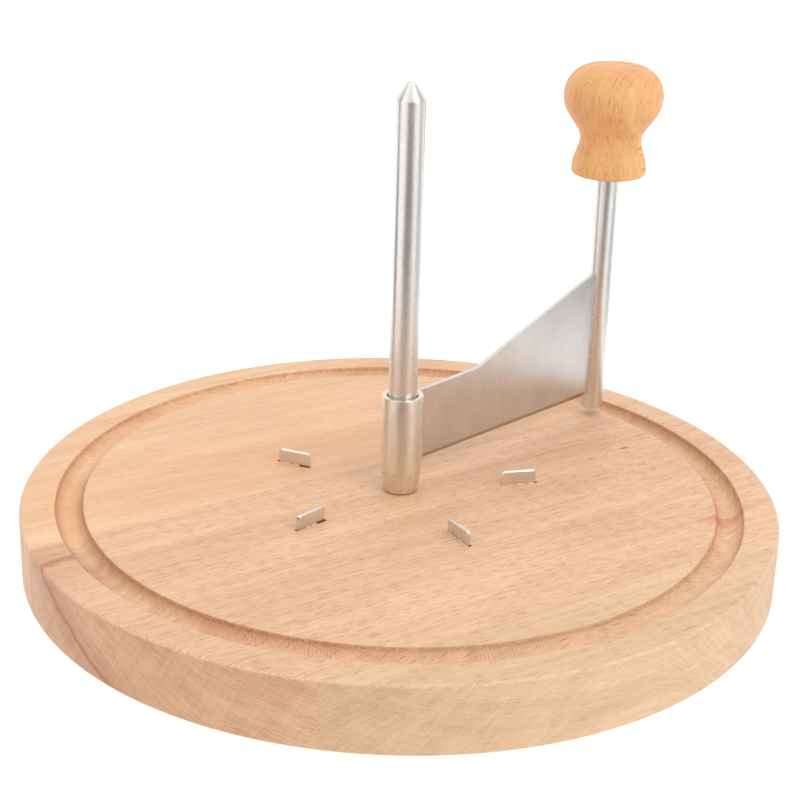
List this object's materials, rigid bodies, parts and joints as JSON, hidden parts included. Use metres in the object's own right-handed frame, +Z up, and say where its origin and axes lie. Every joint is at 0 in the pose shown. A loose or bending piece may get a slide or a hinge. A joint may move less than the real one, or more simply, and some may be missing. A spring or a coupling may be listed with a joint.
{
  "type": "rotary cheese curler",
  "caption": "Round grooved beech board with holding prongs and a central spindle, and a lift-off blade that a knobbed crank swings round the spindle to shave a cheese.",
  "frame": {"origin": "on the surface that the feet stand on, under the spindle's axis", "axes": "+Z up along the spindle; +Y away from the board's front, +X to the right; the staves' grain runs 34.5 degrees from +X"},
  "size_m": [0.22, 0.22, 0.1437],
  "materials": {
    "beech_back": "oiled satin, pinker stave",
    "beech_middle": "oiled satin, fine dark ray flecks",
    "beech_front": "oiled satin, yellower stave",
    "beech_knob": "turned and oiled, satin",
    "satin_stainless": "turned stainless steel, satin",
    "brushed_stainless": "stainless sheet, brushed upwards",
    "zinc_plated": "zinc plated",
    "spring_steel": "blued spring steel",
    "bronze": "sintered bronze, matt",
    "foot_rubber": "matt",
    "nylon": "matt natural nylon"
  },
  "bodies": {
    "board": {"board_stave_back": "beech_back", "board_stave_middle": "beech_middle", "board_stave_front": "beech_front", "cheese_prong_1": "brushed_stainless", "cheese_prong_2": "brushed_stainless", "cheese_prong_3": "brushed_stainless", "cheese_prong_4": "brushed_stainless", "cheese_prong_5": "brushed_stainless", "spindle": "satin_stainless", "spindle_washer": "zinc_plated", "spindle_screw": "zinc_plated", "foot_1": "foot_rubber", "foot_2": "foot_rubber", "foot_3": "foot_rubber", "foot_4": "foot_rubber", "foot_screw_1": "zinc_plated", "foot_screw_2": "zinc_plated", "foot_screw_3": "zinc_plated", "foot_screw_4": "zinc_plated"},
    "liner": {"hub_liner": "nylon"},
    "scraper": {"hub_sleeve": "satin_stainless", "blade": "brushed_stainless", "crank_rod": "satin_stainless", "retaining_ring": "spring_steel", "thrust_washer": "zinc_plated"},
    "knob": {"knob": "beech_knob", "knob_bush": "bronze"}
  },
  "joints": [
    {"name": "scraper_lift", "type": "slide", "parent": "board", "child": "liner", "axis": [0, 0, 1], "range_m": [0, 0.122]},
    {"name": "scraper_turn", "type": "hinge", "parent": "liner", "child": "scraper", "pos_m": [0, 0, 0.0233], "axis": [0, 0, 1], "continuous": true},
    {"name": "knob_spin", "type": "hinge", "parent": "scraper", "child": "knob", "pos_m": [0.06168, 0.06277, 0.1038], "axis": [0, 0, 1], "continuous": true}
  ]
}
